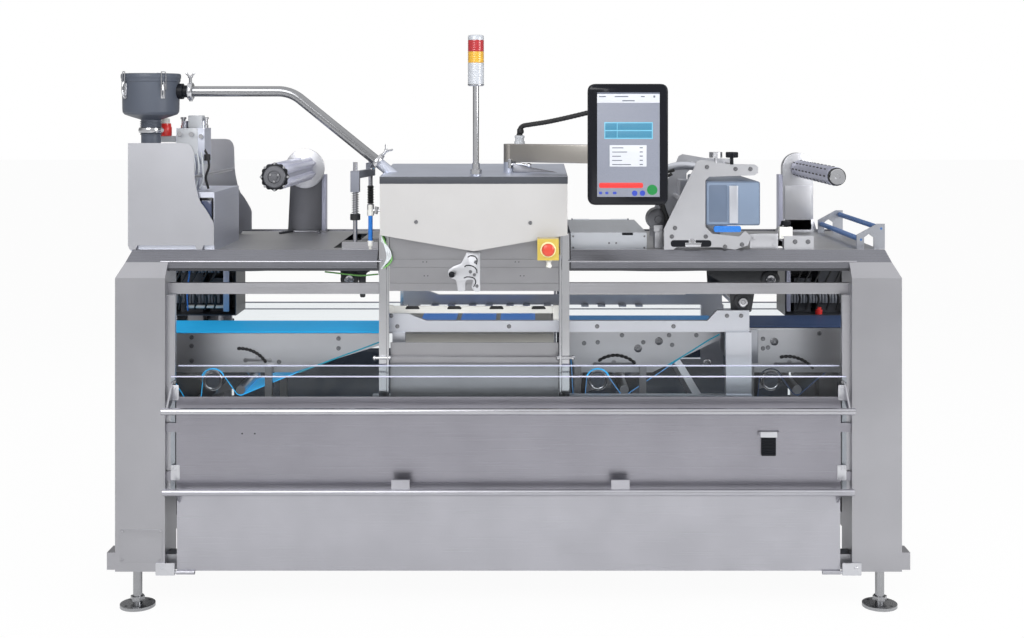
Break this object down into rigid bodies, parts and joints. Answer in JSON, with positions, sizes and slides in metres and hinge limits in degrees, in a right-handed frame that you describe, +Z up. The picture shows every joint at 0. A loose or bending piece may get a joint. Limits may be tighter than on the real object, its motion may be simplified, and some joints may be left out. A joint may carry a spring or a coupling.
{
  "type": "tray sealer",
  "caption": "Tray sealing machine on a portal frame: infeed and outfeed belts, lift table and heated tool, film unwind and rewind, side-swinging operator panel.",
  "frame": {"origin": "centre of the bounding box's floor, between the four levelling feet", "axes": "+X along the tray flow from infeed to exit, -Y towards the operator, +Z up"},
  "size_m": [2.66, 1.1038, 1.907],
  "materials": {
    "stainless": "brushed",
    "white_enamel": "satin",
    "dark_frame": "satin",
    "base_steel": "satin",
    "feet_steel": "satin",
    "tool_plate": "matte",
    "heated_block": "matte",
    "lever_steel": "satin",
    "tray_blue": "satin",
    "bright_steel": "polished",
    "beam_alu": "satin",
    "belt_blue": "matte",
    "roller_steel": "satin",
    "bracket_dark": "satin",
    "pot_paint": "satin",
    "pipe_steel": "polished",
    "mandrel_steel": "satin",
    "dancer_steel": "satin",
    "dancer_block": "satin",
    "spring_steel": "satin",
    "lamp_grey": "gloss",
    "arm_alu": "satin",
    "panel_black": "satin",
    "cassette_grey": "satin",
    "guide_blue": "satin",
    "stop_yellow": "gloss",
    "stop_red": "gloss",
    "clear_guard": "gloss",
    "latch_black": "satin",
    "bolt_dark": "satin"
  },
  "bodies": {
    "frame": {"levelling_feet": "feet_steel", "base_rails": "base_steel", "cross_rails": "base_steel", "frame_posts": "base_steel", "column_covers": "stainless", "end_panels": "stainless", "deck_plates": "stainless", "long_beams": "dark_frame", "cross_beams": "dark_frame", "guard_rails": "stainless", "front_panel": "stainless", "rear_panel": "stainless", "station_uprights": "bright_steel", "hood_shell": "white_enamel", "hood_lid": "stainless", "upper_tool": "heated_block", "station_covers": "tool_plate", "lift_cylinders": "tool_plate", "conveyor_plates": "stainless", "conveyor_belts": "belt_blue", "film_brackets": "bracket_dark", "control_cabinets": "bracket_dark", "supply_side_plates": "stainless", "supply_cabinet": "stainless", "filter_pot": "pot_paint", "vacuum_pipe": "pipe_steel", "dancer_frame": "dancer_steel", "dancer_spring": "spring_steel", "signal_tower": "lamp_grey", "junction_box": "stainless", "printer_plates": "stainless", "guide_roller_plates": "guide_blue", "stop_box": "stop_yellow", "fasteners": "bolt_dark"},
    "panel_latch": {"panel_latch": "latch_black"},
    "tool_lock": {"tool_lock_lever": "lever_steel"},
    "lift_table": {"lower_tool": "tool_plate"},
    "front_gripper": {"gripper_beam_front": "beam_alu"},
    "rear_gripper": {"gripper_beam_rear": "beam_alu"},
    "carriage": {"gripper_carriage": "beam_alu"},
    "infeed_drive": {"infeed_drive_roller": "roller_steel"},
    "outfeed_drive": {"outfeed_drive_roller": "roller_steel"},
    "exit_drive": {"exit_drive_roller": "roller_steel"},
    "left_film_roller": {"film_roller_left": "roller_steel"},
    "right_film_roller": {"film_roller_right": "roller_steel"},
    "low_film_roller": {"film_roller_low": "roller_steel"},
    "pot_lid": {"filter_lid": "pot_paint"},
    "unwind": {"unwind_mandrel": "mandrel_steel"},
    "rewind": {"rewind_mandrel": "mandrel_steel"},
    "dancer": {"dancer_block": "dancer_block"},
    "panel_arm": {"hmi_arm": "arm_alu"},
    "operator_panel": {"hmi_panel": "panel_black"},
    "box_lid": {"junction_lid": "stainless"},
    "cassette": {"printer_cassette": "cassette_grey"},
    "outer_guide": {"guide_roller_outer": "guide_blue"},
    "inner_guide": {"guide_roller_inner": "guide_blue"},
    "stop_head": {"stop_button": "stop_red"},
    "front_guard": {"front_guard": "clear_guard"},
    "rear_guard": {"rear_guard": "clear_guard"},
    "lower_flap": {"lower_flap": "stainless"}
  },
  "joints": [
    {"name": "latch_turn", "type": "hinge", "parent": "frame", "child": "panel_latch", "pos_m": [0.86, -0.4765, 0.588], "axis": [-1, 0, 0], "range_deg": [0, 40]},
    {"name": "tool_lock_turn", "type": "hinge", "parent": "frame", "child": "tool_lock", "pos_m": [-0.11, -0.4335, 1.15], "axis": [0, 1, 0], "range_deg": [-20, 25]},
    {"name": "tool_lift", "type": "slide", "parent": "frame", "child": "lift_table", "axis": [0, 0, 1], "range_m": [0, 0.15]},
    {"name": "carriage_index", "type": "slide", "parent": "frame", "child": "carriage", "axis": [1, 0, 0], "range_m": [-0.1, 0.14]},
    {"name": "front_grip", "type": "slide", "parent": "carriage", "child": "front_gripper", "axis": [0, -1, 0], "range_m": [0, 0.025]},
    {"name": "rear_grip", "type": "slide", "parent": "carriage", "child": "rear_gripper", "axis": [0, 1, 0], "range_m": [0, 0.025]},
    {"name": "infeed_drive_turn", "type": "hinge", "parent": "frame", "child": "infeed_drive", "pos_m": [-1.05, 0, 0.698], "axis": [0, 1, 0], "continuous": true},
    {"name": "outfeed_drive_turn", "type": "hinge", "parent": "frame", "child": "outfeed_drive", "pos_m": [0.312, 0, 0.698], "axis": [0, 1, 0], "continuous": true},
    {"name": "exit_drive_turn", "type": "hinge", "parent": "frame", "child": "exit_drive", "pos_m": [0.925, 0, 0.698], "axis": [0, 1, 0], "continuous": true},
    {"name": "left_film_turn", "type": "hinge", "parent": "frame", "child": "left_film_roller", "pos_m": [-0.546, 0, 1.078], "axis": [0, 1, 0], "continuous": true},
    {"name": "right_film_turn", "type": "hinge", "parent": "frame", "child": "right_film_roller", "pos_m": [0.895, 0, 1.078], "axis": [0, 1, 0], "continuous": true},
    {"name": "low_film_turn", "type": "hinge", "parent": "frame", "child": "low_film_roller", "pos_m": [0.8, 0, 0.985], "axis": [0, 1, 0], "continuous": true},
    {"name": "pot_lid_lift", "type": "slide", "parent": "frame", "child": "pot_lid", "axis": [0, 0, 1], "range_m": [0, 0.12]},
    {"name": "unwind_turn", "type": "hinge", "parent": "frame", "child": "unwind", "pos_m": [-0.796, 0, 1.43], "axis": [0, 1, 0], "continuous": true},
    {"name": "rewind_turn", "type": "hinge", "parent": "frame", "child": "rewind", "pos_m": [1.116, 0, 1.43], "axis": [0, 1, 0], "continuous": true},
    {"name": "dancer_slide", "type": "slide", "parent": "frame", "child": "dancer", "axis": [0, 0, 1], "range_m": [-0.03, 0], "stiffness_N_per_m": 1500, "springref_m": 0.012, "deforming": ["dancer_spring"]},
    {"name": "panel_arm_swing", "type": "hinge", "parent": "frame", "child": "panel_arm", "pos_m": [0.003, -0.298, 1.51], "axis": [0, 0, 1], "range_deg": [-30, 5]},
    {"name": "panel_swivel", "type": "hinge", "parent": "panel_arm", "child": "operator_panel", "pos_m": [0.36842, -0.4607, 1.56], "axis": [0, 0, 1], "range_deg": [-20, 45]},
    {"name": "box_lid_open", "type": "hinge", "parent": "frame", "child": "box_lid", "pos_m": [0.339, 0.206, 1.238], "axis": [-1, 0, 0], "range_deg": [0, 80]},
    {"name": "cassette_pull", "type": "slide", "parent": "frame", "child": "cassette", "axis": [0, -1, 0], "range_m": [0, 0.12]},
    {"name": "outer_guide_turn", "type": "hinge", "parent": "frame", "child": "outer_guide", "pos_m": [1.272, 0, 1.252], "axis": [0, 1, 0], "continuous": true},
    {"name": "inner_guide_turn", "type": "hinge", "parent": "frame", "child": "inner_guide", "pos_m": [1.203, 0, 1.214], "axis": [0, 1, 0], "continuous": true},
    {"name": "stop_press", "type": "slide", "parent": "frame", "child": "stop_head", "axis": [0, 1, 0], "range_m": [0, 0.005], "stiffness_N_per_m": 1200, "springref_m": -0.003},
    {"name": "front_guard_lift", "type": "slide", "parent": "frame", "child": "front_guard", "axis": [0, 0, 1], "range_m": [0, 0.225]},
    {"name": "rear_guard_lift", "type": "slide", "parent": "frame", "child": "rear_guard", "axis": [0, 0, 1], "range_m": [-0.09, 0.13]},
    {"name": "lower_flap_turn", "type": "hinge", "parent": "frame", "child": "lower_flap", "pos_m": [0, -0.474, 0.128], "axis": [1, 0, 0], "range_deg": [0, 90]}
  ],
  "couplings": [
    {"joint": "rear_grip", "follows": "front_grip", "ratio": 1}
  ]
}
